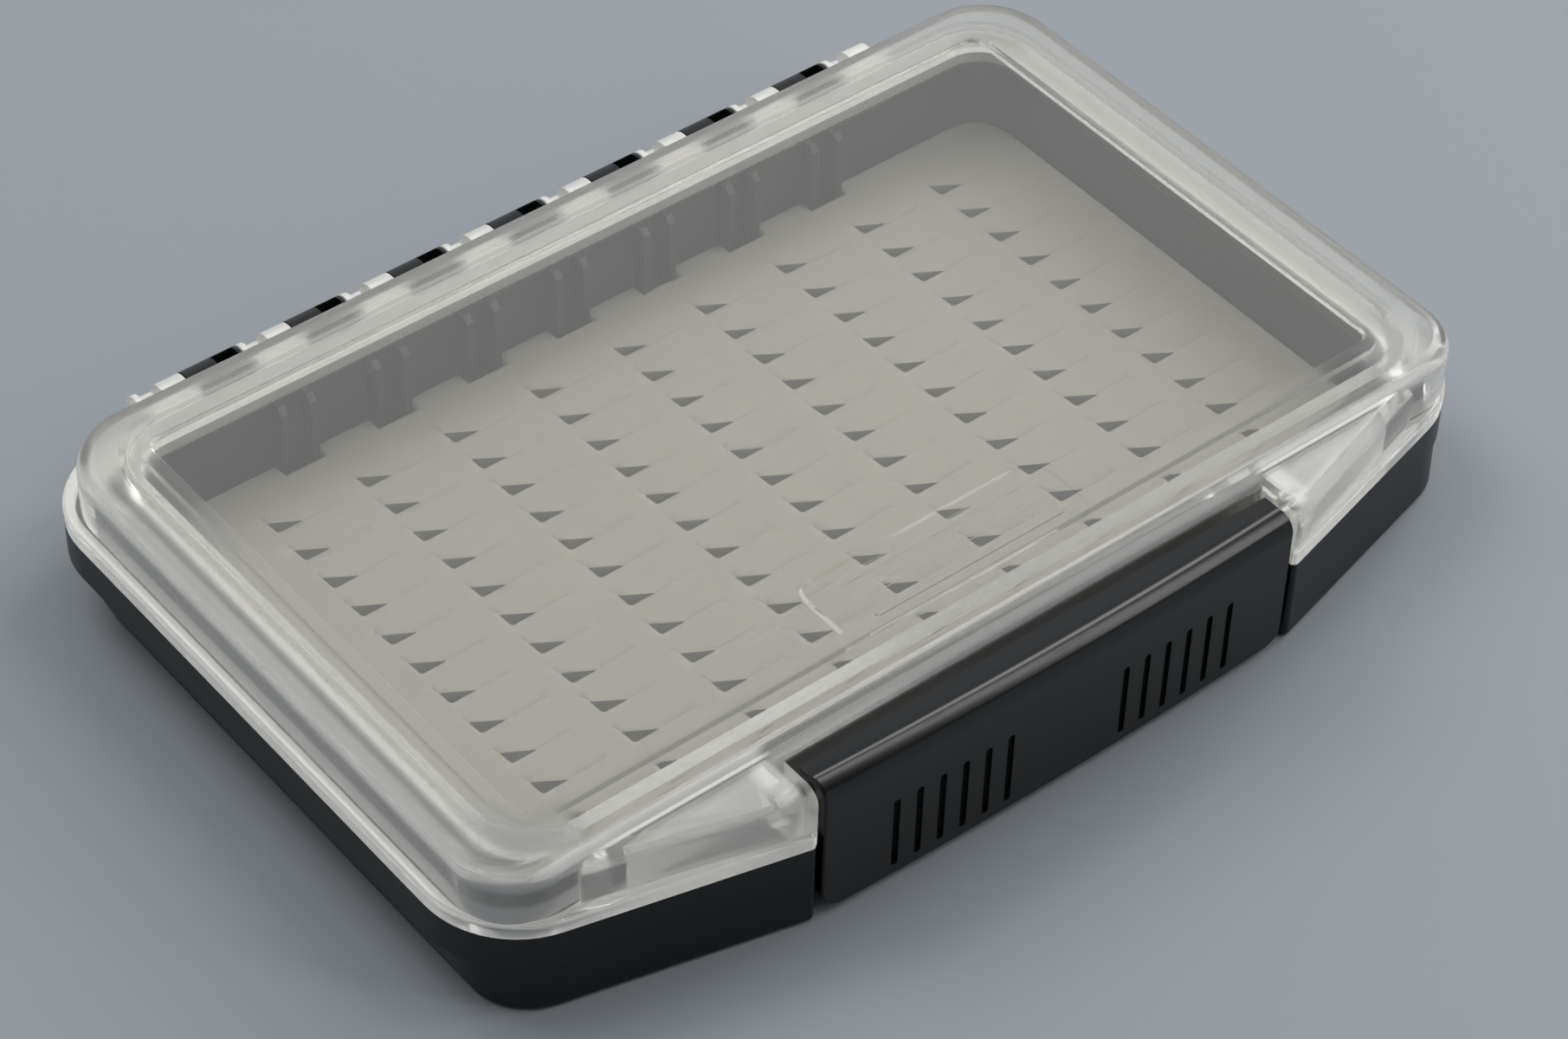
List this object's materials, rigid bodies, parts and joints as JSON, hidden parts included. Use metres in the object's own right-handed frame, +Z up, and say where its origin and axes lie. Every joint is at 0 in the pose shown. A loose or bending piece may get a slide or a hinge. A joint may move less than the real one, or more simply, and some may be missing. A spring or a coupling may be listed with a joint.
{
  "type": "fly box",
  "caption": "Slim hinged box for fishing flies: black tray with a slit silicone pad, clear lid on a long back hinge, and a wide black bar latch across the front.",
  "frame": {"origin": "under the middle of the closed box, on the surface it rests on", "axes": "+X along the box, +Y from the latch towards the hinge, +Z up through the lid"},
  "size_m": [0.155, 0.1112, 0.0225],
  "materials": {
    "tray_black": "satin moulded black",
    "lid_clear": "clear, polished window with a finely frosted border",
    "latch_black": "semi-gloss moulded black",
    "pad_silicone": "matt warm grey silicone",
    "adhesive_film": "matt film",
    "seal_silicone": "satin pale grey silicone",
    "pin_steel": "drawn steel rod"
  },
  "bodies": {
    "base": {"base_tray": "tray_black", "slit_pad": "pad_silicone", "pad_adhesive": "adhesive_film", "seal_ring": "seal_silicone", "hinge_pin": "pin_steel"},
    "lid": {"lid": "lid_clear", "latch_pin": "pin_steel"},
    "latch": {"latch_bar": "latch_black"}
  },
  "joints": [
    {"name": "lid_hinge", "type": "hinge", "parent": "base", "child": "lid", "pos_m": [0, 0.0533, 0.0126], "axis": [-1, 0, 0], "range_deg": [0, 180]},
    {"name": "latch_pivot", "type": "hinge", "parent": "lid", "child": "latch", "pos_m": [0, -0.05095, 0.0184], "axis": [-1, 0, 0], "range_deg": [0, 90]}
  ]
}
